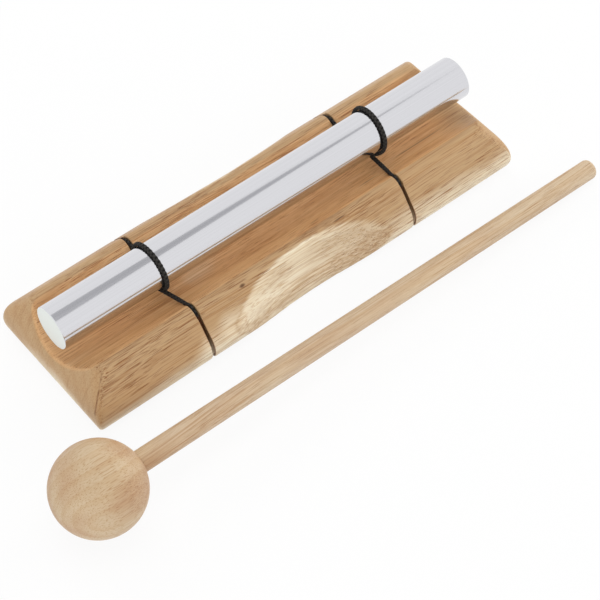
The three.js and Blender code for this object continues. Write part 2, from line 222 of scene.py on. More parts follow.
# Patterns are a noise and a span. A span is where it starts and ends, and what it gives there if not 0 and 1.
BANDS = ((0.009, 0.13, 0.13), 3.0, 0.48, 0.72)
LINES = ((0.010, 2.4, 2.4), 2.0, 0.55, 0.66)
STROKES = ((0.012, 1.5, 1.5), 2.0, 0.62, 0.70)
VEIN_PATCHES = ((0.02, 0.12, 0.12), 1.0, 0.40, 0.58)
PORE_GROUPS = ((0.014, 0.07, 0.07), 1.0, 0.38, 0.62, -0.05, 0.04)
RAYS = ((0.1, 0.9, 0.07), 2.0, 0.5, 0.75)
SANDING_RAGS = ((0.12, 1.3, 1.3), 2.0, 0.3, 0.7, -0.25, 0.25)
SANDING_PATCHES = ((0.05, 0.15, 0.15), 1.0, 0.35, 0.65, 0.75, 1.0)
CRACK_RAGS = ((0.3, 0.3, 0.3), 2.0, 0.3, 0.7, 0.1, 0.9)
FOOT_WOBBLE = ((0.022, 0.05, 0.05), 1.0, 0.3, 0.7, 2.0, -2.0)
MALLET_CLOUDS = ((0.03, 0.07, 0.07), 1.0, 0.35, 0.65)
FLECKS = ((0.35, 3.0, 3.0), 1.0, 0.58, 0.72)

# Spans of the grain's own levels, and its other values. ACROSS drops the part of a vector along the grain.
ACROSS = (0, 1, 1)
DRIFT_REACH = (0, 9, 9)
RING_SPACING = 5.2
RING_RISE = (0.3, 0.9)
RING_END = (1.0, 0.93)
VEIN_EDGE = (0.09, 0.01)
PORE_EDGE = (0.61, 0.68)
FIBRE_AMOUNT = (0.42, 0.75, 0.0, 0.6)
FIBRE_RELIEF = 0.3
WOOD_ROUGHNESS = (0.3, 0.7, 0.42, 0.56)
BASE_PITH = (60, -70)
MALLET_PITH = (-17, 5)
BASE_BUMP = 0.05 * MM
MALLET_BUMP = 0.03 * MM

# Where the base's looks change: spans in millimetres, but for the slope that tells end grain.
SAWN_SLOPE = (0.22, 0.45)
SAWN_DROP = 3.5
# The next four spans shape the pale foot, which is painted light bounced up from the floor.
NEAR_END_DROP = (-64.0, -50.0, 4.5, -2.0)
PALE_LIFT_NEAR = (-50.0, -42.0, 0.0, -3.5)
PALE_LIFT_FAR = (-34.0, -18.0, 1.0, 0.0)
FOOT_EDGE = (15.0, 6.5)
SANDING_MARGIN = (6.0, 20.0, 0.15, 1.1)
SANDING_EDGE = (-0.55, 0.5)
SANDING_FADE = (-5.0, 42.0, 1.0, 0.4)
# Less of the pale on the rear side: painted shade on the side away from the light.
REAR_SHADE_FADE = (-5.0, 5.0, 1.0, 0.6)
# The cove's spans below place its painted bounce light.
COVE_LIPS = (22.6, 19.4)
COVE_SKIN = (1.2, 0.1)
COVE_FAR_FADE = (105.0, 85.0)
COVE_NEAR_FADE = (-108.0, -80.0, 0.7, 1.0)
NEAR_END_CROWD = (-50.0, -62.0, 0.0, 0.012)
SANDED_CROWD = 0.08
# Where the kerfs' painted shade lies: across the kerf, and out from the crest.
KERF_SHADE_EDGE = (0.95, 0.7)
KERF_SHADE_START = (23.0, 24.5)
CRACK_ACROSS = (1.0, -1.0, 0.0)
CRACK_SLANT = (9.0, 22.0, 77.5, 74.6)
CRACK_EDGE = (0.7, 0.2)
CRACK_START = (-23.0, -25.5)
CRACK_FOOT = (8.0, 11.0)
MARK_EDGE = (1.0, 0.5)
WOOD_MARKS = [
    ((-30.7, -24.7, 21.9), (2.1, 1.1, 1.1), 0.95), ((-19.5, -25.5, 20.9), (3.2, 0.6, 0.8), 0.9),
    ((20.5, -23.6, 23.0), (4.5, 0.4, 0.7), 0.75), ((13.0, -17.0, 20.8), (2.8, 0.45, 0.7), 0.6),
    ((76.0, -9.0, 16.6), (17.0, 0.6, 1.0), 0.5), ((46.0, -12.7, 18.1), (7.0, 0.4, 0.7), 0.45),
]

# The looks of the mallet along its stick, of the bar and of the cords: spans and insets in millimetres, and
# the turning marks' rate in radians per millimetre.
STICK_FADE = (18.0, 40.0, 0.0, 0.55)
BALL_POLE = (8.0, -10.0)
FACE_INSETS = (0.15, 0.02)
FACE_ROUGHNESS = 0.22
TURNING_RATE = 14.0
TURNING_RELIEF = 0.5
DRAWN_LEVELS = (0.35, 0.65)
DRAWN_ROUGHNESS = (0.3, 0.7, 0.10, 0.14)
DRAWN_RELIEF = 0.12
POLISH_ROUGHNESS = (0.3, 0.7, 0.0, 0.03)
BAR_BUMP = 0.004 * MM
# Braid heights over which the painted crown sheen comes in.
CROWN_SHEEN_LEVELS = (0.45, 0.97)
FUZZ_LEVELS = (0.5, 0.8, 0.0, 0.4)
# Where the kerf's painted shade on the cord starts: out from the middle, and down.
CORD_SHADE_REACH = (22.5, 24.0)
CORD_SHADE_DEPTH = (22.0, 19.5)
CORD_ROUGHNESS = (0.3, 0.7, 0.75, 0.95)
CORD_SPECULAR = 0.15
CORD_BUMP = 0.08 * MM

# The stage, in metres. A lamp is its name, place, size and power in watts.
FLOOR_REACH = 3.0
FLOOR_DROP = 0.1 * MM
FLOOR_PAPER = (0.9, 0.9, 0.9)
FLOOR_LIFT = 0.9
FLOOR_FADE = (0.3, 1.2)
WORLD_LIGHT = (0.42, 0.42, 0.42)
LAMPS = [
    ("front_softbox", (-0.35, -1.1, 0.65), (1.4, 0.6), 4.4),
    ("left_softbox", (-1.2, -0.25, 0.30), (1.2, 0.5), 3.4),
    ("right_softbox", (1.2, -0.25, 0.35), (1.2, 0.5), 8.0),
    ("rear_softbox", (0.2, 1.2, 0.7), (1.2, 0.6), 6.2),
    ("top_softbox", (0.1, 0.1, 1.3), (1.2, 1.2), 5.7),
]
STRIPE_CARD = [(0.10, -0.36, 1.0), (0.62, -0.02, 1.0), (0.62, 0.02, 1.0), (0.10, 0.46, 1.0)]
STRIPE_GLOW = (0.55, 0.55, 0.561)


def mix(a, b, share):
    return a + (b - a) * share


def smoothstep(low, high, value):
    share = np.clip((value - low) / (high - low), 0.0, 1.0)
    return share * share * (3.0 - 2.0 * share)


def new_object(name, points, faces, normals=None, matrix=None):
    """A smooth-shaded mesh object from points and faces, with its own vertex normals where they are given."""
    if matrix is not None:
        turn, shift = np.array(matrix.to_3x3()), np.array(matrix.translation)
        points = np.asarray(points) @ turn.T + shift
        normals = np.asarray(normals) @ turn.T
    mesh = bpy.data.meshes.new(name)
    mesh.from_pydata(np.asarray(points).tolist(), [], [tuple(int(i) for i in face) for face in faces])
    mesh.shade_smooth()
    if normals is not None:
        mesh.normals_split_custom_set_from_vertices(np.asarray(normals).tolist())
    obj = bpy.data.objects.new(name, mesh)
    bpy.context.scene.collection.objects.link(obj)
    return obj


def skin_rings(rings):
    """Points and faces through rings of equally many points, with a fan over each end."""
    count = len(rings[0])
    points = np.concatenate([np.concatenate(rings), [np.mean(rings[0], axis=0), np.mean(rings[-1], axis=0)]])
    faces = []
    for level in range(len(rings) - 1):
        here = level * count
        for i in range(count):
            j = (i + 1) % count
            faces.append((here + i, here + j, here + count + j, here + count + i))
    first, last = len(points) - 2, (len(rings) - 1) * count
    for i in range(count):
        j = (i + 1) % count
        faces.append((first, j, i))
        faces.append((first + 1, last + i, last + j))
    return points, faces


def eased_profile(corners, steps):
    """Points and outward normals of a profile of (x, radius, easing) corners, each rounded by its easing."""
    spots = [np.array(corner[:2]) for corner in corners]
    profile = []
    for i, here in enumerate(spots[1:-1], 1):
        into = (here - spots[i - 1]) / np.linalg.norm(here - spots[i - 1])
        out = (spots[i + 1] - here) / np.linalg.norm(spots[i + 1] - here)
        turn = math.acos(np.clip(into @ out, -1, 1))
        cut = corners[i][2] * math.tan(turn / 2)
        shares = np.linspace(0, 1, steps + 1) if cut > 0 else [0.5]
        for t in shares:
            spot = here - into * cut * (1 - t) ** 2 + out * cut * t * t
            tangent = mix(into, out, t)
            profile.append((spot, np.array([-tangent[1], tangent[0]]) / np.linalg.norm(tangent)))
    return profile


def turned(name, corners, sides, steps, matrix):
    """A solid turned about X. The profile runs from axis to axis towards +X."""
    profile = eased_profile(corners, steps)
    angles = np.arange(sides) * 2 * math.pi / sides
    round_y, round_z = np.cos(angles), np.sin(angles)
    rings = [np.stack([np.full(sides, s[0]), s[1] * round_y, s[1] * round_z], 1) for s, _ in profile]
    normals = [np.stack([np.full(sides, n[0]), n[1] * round_y, n[1] * round_z], 1) for _, n in profile]
    points, faces = skin_rings(rings)
    normals = np.concatenate(normals + [[[-1.0, 0, 0]], [[1.0, 0, 0]]])
    return new_object(name, points, faces, normals, matrix)


def arc(centre_x, centre_y, radius, start, end, steps):
    """Points of an arc as (x, y), both ends included."""
    angles = [mix(start, end, i / steps) for i in range(steps + 1)]
    return [(centre_x + radius * math.cos(a), centre_y + radius * math.sin(a)) for a in angles]


# The base is an implicit solid: its faces are signed distances, joined by a smooth maximum that eases edges.

def easing(radius, turn):
    """Width of the smooth maximum that rounds an edge of this turn to about this radius."""
    return 4.0 * radius * (1.0 - math.cos(turn / 2))


def soft_max(a, b, width):
    near = np.maximum(width - np.abs(a - b), 0.0)
    return np.maximum(a, b) + near * near / (4.0 * width)


def leaning_wall(out, z, half, knee_radius, lean):
    """Distance outside a wall that stands upright to the knee and then leans in."""
    corner = KNEE_HEIGHT + knee_radius * math.tan(lean / 2)
    upright = out - half
    leaning = upright * math.cos(lean) + (z - corner) * math.sin(lean)
    return soft_max(upright, leaning, easing(knee_radius, lean))


# The kerf's core is the wood that a kerf leaves standing. The cord's centre line keeps the seat's distance
# from it, and bends over its rim.
KERF_SEAT = CLEARANCE + CORD_PINCHED_HEIGHT / 2
RIM_CORE = CORD_RIM_BEND - KERF_SEAT
CORE_Y = CREST_HALF - KERF_INSET
CORE_RUN = (BASE_HEIGHT - KERF_FLOOR - KERF_CORNER_RADIUS * (1 + math.sin(KERF_LEAN))) / math.cos(KERF_LEAN)
CORE_CORNER_Y = CORE_Y + CORE_RUN * math.sin(KERF_LEAN) - KERF_CORNER_RADIUS * math.cos(KERF_LEAN)
CORE_CORNER_Z = KERF_FLOOR + KERF_CORNER_RADIUS
RIM_Z = BASE_HEIGHT - KERF_CREST_DEPTH - RIM_CORE
RIM_Y = CORE_Y - (RIM_CORE - (BASE_HEIGHT - RIM_Z) * math.sin(KERF_LEAN)) / math.cos(KERF_LEAN)


def strand_rise(radius):
    """Rise of a taut strand from the bar to the rim, tangent to both."""
    fall = BAR_AXIS_HEIGHT - RIM_Z
    span = math.hypot(RIM_Y, fall)
    return math.asin((radius + CORD_RIM_BEND) / span) - math.atan2(fall, RIM_Y)


def kerf_core(y, z):
    """Distance outside the wood that a kerf leaves standing."""
    side = (y - CORE_Y) * math.cos(KERF_LEAN) + (z - BASE_HEIGHT) * math.sin(KERF_LEAN)
    past_side = (y - CORE_CORNER_Y) * math.sin(KERF_LEAN) - (z - CORE_CORNER_Z) * math.cos(KERF_LEAN)
    rounded = np.hypot(y - CORE_CORNER_Y, z - CORE_CORNER_Z) - KERF_CORNER_RADIUS
    low = np.where((past_side > 0) & (y > CORE_CORNER_Y), rounded, np.maximum(side, KERF_FLOOR - z))
    rise = strand_rise(CORD_CROSS_RADIUS)
    inner = np.maximum(y, CORD_HUG_RADIUS)
    top = (z - RIM_Z) * math.cos(rise) - (inner - RIM_Y) * math.sin(rise) - RIM_CORE
    return soft_max(low, top, easing(RIM_CORE, QUARTER + rise - KERF_LEAN))


COVE_HALF = CREST_HALF - COVE_INSET
COVE_RADIUS = (COVE_HALF ** 2 + COVE_DEPTH ** 2) / (2 * COVE_DEPTH)


def block_distance(x, y, z):
    """Distance outside the block before its cuts, with its hips, crests and foot eased."""
    side = leaning_wall(np.abs(y), z, BASE_WIDTH / 2, SIDE_KNEE_RADIUS, SIDE_LEAN)
    end = leaning_wall(np.abs(x), z, BASE_LENGTH / 2, END_KNEE_RADIUS, END_LEAN)
    rear = np.where(x > 0, FAR_REAR_HIP, NEAR_REAR_HIP)
    front = np.where(x > 0, FAR_FRONT_HIP, NEAR_FRONT_HIP)
    crest = np.where((x > 0) & (y > 0), SHARP_CREST_RADIUS, CREST_CORNER_RADIUS)
    hip = mix(np.where(y > 0, rear, front), crest, np.clip(z / BASE_HEIGHT, 0.0, 1.0) ** 2)
    wood = soft_max(side, end, hip * easing(1.0, QUARTER))
    wood = soft_max(wood, z - BASE_HEIGHT, easing(SHOULDER_RADIUS, QUARTER - SIDE_LEAN))
    return soft_max(wood, -z, easing(FOOT_RADIUS, QUARTER))


def scoop_distance(x, y, z):
    """Depth inside a finger scoop, which is a leaning cylinder."""
    inward = (BASE_WIDTH / 2 - SCOOP_FOOT_DEPTH - np.abs(y)) * math.cos(SCOOP_LEAN) - z * math.sin(SCOOP_LEAN)
    return SCOOP_RADIUS - np.hypot(x, inward + SCOOP_RADIUS)


def kerf_distance(from_kerf, y, z, wood):
    """Depth inside a kerf, which narrows to a slit at the surface of the wood."""
    lip = smoothstep(-SLIT_LIP, -SLIT_LIP / 2, wood) * smoothstep(SLIT_TOP, SLIT_TOP - SLIT_FADE, z)
    lip = lip * smoothstep(SLIT_FOOT, SLIT_FOOT + SLIT_FADE, z)
    half_slit = mix(KERF_WIDTH, SLIT_WIDTH, lip) / 2
    return np.minimum(half_slit - np.abs(from_kerf), kerf_core(np.abs(y), z))


def base_distance(p):
    """Signed distance, about true near the surface, from the wooden base."""
    x, y, z = p[..., 0], p[..., 1], p[..., 2]
    wood = block_distance(x, y, z)
    cove = COVE_RADIUS - np.hypot(y, z - (BASE_HEIGHT - COVE_DEPTH + COVE_RADIUS))
    wood = soft_max(wood, cove, easing(COVE_LIP_RADIUS, math.asin(COVE_HALF / COVE_RADIUS)))
    wood = soft_max(wood, scoop_distance(x, y, z), SCOOP_EASING)
    from_kerf = np.abs(x) - KERF_SPACING / 2
    wood = soft_max(wood, kerf_distance(from_kerf, y, z, wood), KERF_EASING)
    pocket = np.minimum(POCKET_RADIUS - np.hypot(from_kerf, y), POCKET_DEPTH - z)
    return soft_max(wood, pocket, KERF_EASING)


def gradient(distance, points):
    slopes = []
    for axis in range(3):
        shift = np.zeros(3)
        shift[axis] = SLOPE_STEP
        slopes.append((distance(points + shift) - distance(points - shift)) / (2 * SLOPE_STEP))
    return np.stack(slopes, -1)


def settle(distance, points, reach):
    """Moves points onto the surface where the distance is zero, no further than reach at each step."""
    for _ in range(SETTLE_STEPS):
        slope = gradient(distance, points)
        square = np.maximum((slope ** 2).sum(-1), LEAST_SLOPE_SQUARE)
        move = -slope * (distance(points) / square)[:, None]
        length = np.maximum(np.linalg.norm(move, axis=1), LEAST_MOVE)
        points = points + move * np.minimum(1.0, reach / length)[:, None]
    return points


def surface_cells(inside):
    """The grid cells that the surface passes through, and their numbers by place."""
    shape = tuple(n - 1 for n in inside.shape)
    corners = np.zeros(shape, int)
    for offset in np.ndindex(2, 2, 2):
        corners += inside[tuple(slice(o, o + n) for o, n in zip(offset, shape))]
    cells = np.argwhere((corners > 0) & (corners < 8))
    index = np.full(shape, -1)
    index[tuple(cells.T)] = np.arange(len(cells))
    return cells, index


def crossing_quads(inside, index, axis):
    """Quads round the grid edges along an axis that leave the solid, and round those that enter it."""
    u, v = (axis + 1) % 3, (axis + 2) % 3
    low, high = [slice(1, -1)] * 3, [slice(1, -1)] * 3
    low[axis], high[axis] = slice(0, -1), slice(1, None)
    before, after = inside[tuple(low)], inside[tuple(high)]
    quads = []
    for crossing, order in ((before & ~after, 1), (~before & after, -1)):
        found = np.argwhere(crossing)
        found[:, [u, v]] += 1
        ring = []
        for du, dv in ((1, 1), (0, 1), (0, 0), (1, 0)):
            cell = found.copy()
            cell[:, u] -= du
            cell[:, v] -= dv
            ring.append(index[tuple(cell.T)])
        quads.append(np.stack(ring, 1)[:, ::order])
    return quads


def surface_net(distance, axes):
    """Quads around the zero surface of a distance on a rectilinear grid, then settled on it."""
    inside = distance(np.stack(np.meshgrid(*axes, indexing="ij"), -1)) < 0
    cells, index = surface_cells(inside)
    middles = [(a[1:] + a[:-1]) / 2 for a in axes]
    points = np.stack([middles[k][cells[:, k]] for k in range(3)], 1)
    quads = [quad for axis in range(3) for quad in crossing_quads(inside, index, axis)]
    reach = max(np.diff(a).max() for a in axes)
    return settle(distance, points, reach), np.concatenate(quads)


def weld(points, faces):
    """Joins points that settled on the same spot, and drops the faces that have no area left."""
    mesh = bmesh.new()
    corners = [mesh.verts.new(point) for point in points]
    for face in faces:
        mesh.faces.new([corners[i] for i in face])
    bmesh.ops.remove_doubles(mesh, verts=mesh.verts[:], dist=WELD_REACH)
    mesh.verts.index_update()
    points = np.array([tuple(corner.co) for corner in mesh.verts])
    faces = [[corner.index for corner in face.verts] for face in mesh.faces]
    mesh.free()
    return points, faces


def graded(spans, coarseness):
    """Grid lines over spans from the middle outward, mirrored about zero."""
    lines = []
    for start, end, step in spans:
        count = max(1, round((end - start) / (step * coarseness)))
        lines += [mix(start, end, i / count) for i in range(count)]
    lines.append(spans[-1][1])
    half = np.array(lines) * MM
    return np.concatenate([-half[:0:-1], half])


def make_base():
    coarseness = 1.0
    bottom, top, step = GRID_UP
    count = round((top - bottom) / (step * coarseness))
    up = np.array([bottom + (top - bottom) * i / count for i in range(count + 1)]) * MM
    grid = graded(GRID_ALONG, coarseness), graded(GRID_ACROSS, coarseness), up
    points, faces = weld(*surface_net(base_distance, grid))
    slope = gradient(base_distance, points)
    normals = slope / np.linalg.norm(slope, axis=1)[:, None]
    return new_object("wooden_base_carved", points, faces, normals)


def make_bar():
    half = BAR_LENGTH / 2
    corners = [
        (-half, 0, 0), (-half, BAR_RADIUS, BAR_EDGE_RADIUS),
        (half, BAR_RADIUS, BAR_EDGE_RADIUS), (half, 0, 0),
    ]
    place = Matrix.Translation((0, 0, BAR_AXIS_HEIGHT))
    return turned("chime_bar_polished", corners, BAR_SIDES, EASING_STEPS, place)


# The cords. A route is an array of rows (out, y, z, pinch): out is the distance outward from the kerf.

def kerf_route(side, rise):
    """From the knot up one side to the start of the free strand: side is 1 at the rear, -1 in front."""
    lap = side * (CORD_DIAMETER + CORD_SELF_GAP) / 2
    low = KERF_FLOOR - KERF_SEAT
    rows = [
        (lap, -KNOT_LAP, low, 0), (lap, 0, low, 0), (lap, KNOT_LAP, low, 0),
        (lap / 2, mix(KNOT_LAP, POCKET_RADIUS - CORD_RADIUS, 0.5), low, 0),
        (0, POCKET_RADIUS - CORD_RADIUS, low, 0), (0, POCKET_RADIUS + CORD_RADIUS, low, 1),
        (0, mix(POCKET_RADIUS, CORE_CORNER_Y, 0.5), low, 1),
    ]
    bend = KERF_CORNER_RADIUS + KERF_SEAT
    corner = arc(CORE_CORNER_Y, CORE_CORNER_Z, bend, -QUARTER, KERF_LEAN, ARC_STEPS)
    rim = arc(RIM_Y, RIM_Z, CORD_RIM_BEND, KERF_LEAN, QUARTER + rise, ARC_STEPS)
    rows += [(0, *spot, 1) for spot in corner + rim]
    return np.array(rows) * [1, side, 1, 1]


def loop_route(rise_in, rise_out):
    """Once round the bar and under its own first strand."""
    stations = np.linspace(0, 1, len(LOOP_LEAD_SHARES))
    shares = np.linspace(0, 1, LOOP_STEPS + 1)
    leads = hermite(stations, np.array(LOOP_LEAD_SHARES)[:, None], shares)[:, 0] * CORD_DIAMETER
    angles = rise_in - shares * (2 * math.pi + rise_in + rise_out)
    radii = mix(CORD_HUG_RADIUS, CORD_CROSS_RADIUS, smoothstep(LOOP_LIFT_SHARE, LOOP_CROSS_SHARE, shares))
    heights = BAR_AXIS_HEIGHT - radii * np.cos(angles)
    return np.stack([leads, radii * np.sin(angles), heights, np.zeros_like(shares)], 1)


def hermite(stations, rows, wanted):
    """Values at the wanted stations on a smooth curve through the rows."""
    gaps = np.diff(stations)
    slopes = np.diff(rows, axis=0) / gaps[:, None]
    inner = (slopes[:-1] * gaps[1:, None] + slopes[1:] * gaps[:-1, None]) / (gaps[1:] + gaps[:-1])[:, None]
    tangents = np.concatenate([slopes[:1], inner, slopes[-1:]])
    i = np.clip(np.searchsorted(stations, wanted, side="right") - 1, 0, len(gaps) - 1)
    gap = gaps[i][:, None]
    t = (np.asarray(wanted)[:, None] - stations[i][:, None]) / gap
    return (rows[i] * (1 + 2 * t) * (1 - t) ** 2 + tangents[i] * gap * t * (1 - t) ** 2
            + rows[i + 1] * t * t * (3 - 2 * t) + tangents[i + 1] * gap * t * t * (t - 1))


def strand_between(rim, bar):
    rows = np.array([mix(rim, bar, share) for share in STRAND_SHARES])
    rows[:, 3] = STRAND_GRIP_SHARES
    return rows


def cord_route():
    """The whole route, from the rear lap of the knot to the front one, and the rows where its runs meet."""
    rise_in, rise_out = strand_rise(CORD_HUG_RADIUS), strand_rise(CORD_CROSS_RADIUS)
    rear, front = kerf_route(1, rise_in), kerf_route(-1, rise_out)
    loop = loop_route(rise_in, rise_out)
    rear_strand, front_strand = strand_between(rear[-1], loop[0]), strand_between(front[-1], loop[-1])
    runs = [rear, rear_strand, loop, front_strand[::-1], front[::-1]]
    ends = np.cumsum([len(run) for run in runs])
    return np.concatenate(runs), (ends[0] - 1, ends[1] + LOOP_STEPS // 2, ends[3])


def braid_height(turn, length):
    """Height, 0 to 1, of a plain braid at a share of the turn round the cord and a length along it."""
    rise = length / BRAID_PITCH
    left, right = BRAID_STRANDS * turn + rise, BRAID_STRANDS * turn - rise
    heights = []
    for own, other, sign in ((left, right, 1), (right, left, -1)):
        strand = np.round(own)
        crown = np.sqrt(np.maximum(1 - (2 * BRAID_WIDTH_SHARE * (own - strand)) ** 2, 0))
        over = np.cos(math.pi * strand) * np.cos(math.pi * other) * sign
        heights.append(crown * BRAID_CROWN_SHARE + over * BRAID_OVER_SHARE)
    return np.clip(np.maximum(*heights), 0, 1)


def cord_mesh(rows, start, side):
    """A braided tube along rows of the route, from this length on, and the braid's height at each point."""
    lengths = start + np.arange(len(rows)) * CORD_STEP
    centres = rows[:, :3] * [side, 1, 1] + [side * KERF_SPACING / 2, 0, 0]
    forward = np.gradient(centres, axis=0)
    forward /= np.linalg.norm(forward, axis=1)[:, None]
    across = np.array([1.0, 0, 0]) - forward * forward[:, :1]
    across /= np.linalg.norm(across, axis=1)[:, None]
    outward = np.cross(forward, across)
    pinch = np.clip(rows[:, 3], 0, 1)
    from_bar = np.hypot(centres[:, 1], centres[:, 2] - BAR_AXIS_HEIGHT)
    hug = CORD_HUG_FLATTENING * smoothstep(CORD_CROSS_RADIUS, CORD_HUG_RADIUS, from_bar)
    half_across = mix(CORD_RADIUS, CORD_PINCHED_WIDTH / 2, pinch) * (1 + hug / 2)
    half_outward = mix(CORD_RADIUS, CORD_PINCHED_HEIGHT / 2, pinch) * (1 - hug)
    turns = np.arange(CORD_SIDES) / CORD_SIDES
    height = braid_height(turns[None, :], lengths[:, None])
    relief = 1 - BRAID_DEPTH * (1 - height)
    crown = np.append(height.ravel(), [CAP_CROWN, CAP_CROWN])
    offset_a = (half_across[:, None] * relief * np.cos(turns * 2 * math.pi))[..., None]
    offset_b = (half_outward[:, None] * relief * np.sin(turns * 2 * math.pi))[..., None]
    rings = list(centres[:, None] + offset_a * across[:, None] + offset_b * outward[:, None])
    return *skin_rings(rings), crown


def make_cord(label, side, look):
    """A cord's pieces: held under the base, and two halves of the sling that meet on top of the bar."""
    route, meets = cord_route()
    gaps = np.linalg.norm(np.diff(route[:, :3], axis=0), axis=1)
    stations = np.concatenate([[0], np.cumsum(gaps)])
    count = round(stations[-1] / CORD_STEP)
    rows = hermite(stations, route, np.linspace(0, stations[-1], count + 1))
    cuts = [round(stations[row] / stations[-1] * count) for row in meets]
    spans = [(0, cuts[0], "rear_under"), (cuts[0], cuts[1], "rear_sling"),
             (cuts[1], cuts[2], "front_sling"), (cuts[2], count, "front_under")]
    for first, last, part in spans:
        points, faces, crown = cord_mesh(rows[first:last + 1], first * CORD_STEP, side)
        piece = new_object(f"{label}_{part}", points, faces)
        piece.data.attributes.new("crown", "FLOAT", "POINT").data.foreach_set("value", crown)
        piece.data.materials.append(look)
        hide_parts(label)
        if part.endswith("under"):
            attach(piece, "block")
        else:
            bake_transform(piece)


# The mallet.

def mallet_matrix():
    """Places the mallet's own frame: X along the stick, from the middle of the ball."""
    arm = math.hypot(STICK_REACH - STICK_TIP_ROUND, STICK_TIP_RADIUS - STICK_TIP_ROUND)
    tip = math.atan2(STICK_TIP_RADIUS - STICK_TIP_ROUND, STICK_REACH - STICK_TIP_ROUND)
    slope = math.asin((HEAD_RADIUS - STICK_TIP_ROUND) / arm) - tip
    place = Matrix.Translation((HEAD_X, HEAD_Y, HEAD_RADIUS))
    return place @ Matrix.Rotation(STICK_YAW, 4, "Z") @ Matrix.Rotation(slope, 4, "Y")


SEAT_RADIUS = STICK_HEAD_RADIUS + CLEARANCE
SEAT_PLACE = math.sqrt(HEAD_RADIUS ** 2 - SEAT_RADIUS ** 2) - SEAT_SINK
HOLE_FLOOR = SEAT_PLACE - TENON_HOLE_DEPTH


def make_head(matrix):
    rim = math.asin(SEAT_RADIUS / HEAD_RADIUS)
    ball = arc(0, 0, HEAD_RADIUS - BALL_ROOM, math.pi, rim, BALL_STEPS)
    hole = TENON_RADIUS + CLEARANCE
    corners = [(x, max(r, 0), 0) for x, r in ball]
    corners += [(SEAT_PLACE, SEAT_RADIUS, 0), (SEAT_PLACE, hole, SMALL_EASING)]
    corners += [(HOLE_FLOOR, hole, SMALL_EASING), (HOLE_FLOOR, 0, 0)]
    return turned("mallet_ball", corners, BALL_SIDES, BALL_EASING_STEPS, matrix)


def make_stick(matrix):
    floor, seat = HOLE_FLOOR + CLEARANCE, SEAT_PLACE + CLEARANCE
    corners = [
        (floor, 0, 0), (floor, TENON_RADIUS, SMALL_EASING), (seat, TENON_RADIUS, 0),
        (seat, STICK_HEAD_RADIUS, SMALL_EASING), (STICK_REACH, STICK_TIP_RADIUS, STICK_TIP_ROUND),
        (STICK_REACH, 0, 0),
    ]
    return turned("mallet_rod", corners, STICK_SIDES, STICK_EASING_STEPS, matrix)


# Materials.

class Nodes:
    """A node tree under construction. Each call adds a node and returns its output socket."""

    def __init__(self, owner):
        owner.use_nodes = True
        self.tree = owner.node_tree

    def feed(self, socket, value):
        if isinstance(value, bpy.types.NodeSocket):
            self.tree.links.new(value, socket)
        else:
            socket.default_value = value

    def node(self, kind, inputs, output=0, **settings):
        node = self.tree.nodes.new(kind)
        for key, value in settings.items():
            setattr(node, key, value)
        for socket, value in inputs.items():
            self.feed(node.inputs[socket], value)
        return node.outputs[output]

    def show(self, kind, surface):
        """Ends the tree in an output of this kind."""
        self.feed(self.tree.nodes.new(kind).inputs[0], surface)

    def place(self, matrix):
        """Object coordinates in millimetres, in the frame that the matrix places."""
        spot = self.node("ShaderNodeTexCoord", {}, "Object")
        inputs = {"Vector": spot, "Location": matrix.translation, "Rotation": matrix.to_euler()}
        local = self.node("ShaderNodeMapping", inputs, vector_type="TEXTURE")
        return self.vector("MULTIPLY", local, (1 / MM, 1 / MM, 1 / MM))

    def vector(self, operation, a, b):
        return self.node("ShaderNodeVectorMath", {0: a, 1: b}, operation=operation)

    def length(self, vector):
        return self.node("ShaderNodeVectorMath", {0: vector}, "Value", operation="LENGTH")

    def part(self, vector, axis):
        return self.node("ShaderNodeSeparateXYZ", {0: vector}, axis)

    def math(self, operation, a, b=0.0):
        return self.node("ShaderNodeMath", {0: a, 1: b}, operation=operation)

    def absolute(self, value):
        return self.math("ABSOLUTE", value)

    def total(self, a, b):
        return self.math("ADD", a, b)

    def less(self, a, b):
        return self.math("SUBTRACT", a, b)

    def product(self, first, *others):
        for other in others:
            first = self.math("MULTIPLY", first, other)
        return first

    def noise(self, place, scale, detail, output="Fac"):
        stretched = self.vector("MULTIPLY", place, scale)
        inputs = {"Vector": stretched, "Scale": 1.0, "Detail": detail}
        return self.node("ShaderNodeTexNoise", inputs, output)

    def span(self, value, low, high, bottom=0.0, top=1.0, smooth=True):
        """Maps low..high to bottom..top, clamped."""
        return self.node(
            "ShaderNodeMapRange",
            {0: value, 1: low, 2: high, 3: bottom, 4: top},
            interpolation_type="SMOOTHSTEP" if smooth else "LINEAR",
        )

    def pattern(self, place, scale, detail, *levels):
        """Noise that shows between its levels, as span maps them."""
        return self.span(self.noise(place, scale, detail), *levels)

    def blend(self, factor, a, b):
        return self.node("ShaderNodeMix", {0: factor, 6: a, 7: b}, 2, data_type="RGBA")

    # Used for the grain's stains and for painted shade.
    def stain_or_shade(self, colour, amount, tint):
        """Multiplies a colour by a tint, as far as the amount goes."""
        inputs = {0: amount, 6: colour, 7: (*tint, 1)}
        return self.node("ShaderNodeMix", inputs, 2, data_type="RGBA", blend_type="MULTIPLY")

    def bump(self, height, depth):
        return self.node("ShaderNodeBump", {"Height": height, "Distance": depth, "Strength": 1.0})


class Shader(Nodes):
    """The nodes of a new material with one principled surface."""

    def __init__(self, name):
        self.material = bpy.data.materials.new(name)
        super().__init__(self.material)
        self.surface = self.tree.nodes["Principled BSDF"]

    def finish(self, **inputs):
        for name, value in inputs.items():
            self.feed(self.surface.inputs[name.replace("_", " ")], value)
        return self.material


def tone(red, green, blue):
    """A colour written as it shows on screen, 0 to 255."""
    def linear(value):
        share = value / 255
        return share / 12.92 if share <= 0.04045 else ((share + 0.055) / 1.055) ** 2.4
    return (linear(red), linear(green), linear(blue), 1.0)


# Wood grain, which runs along X.

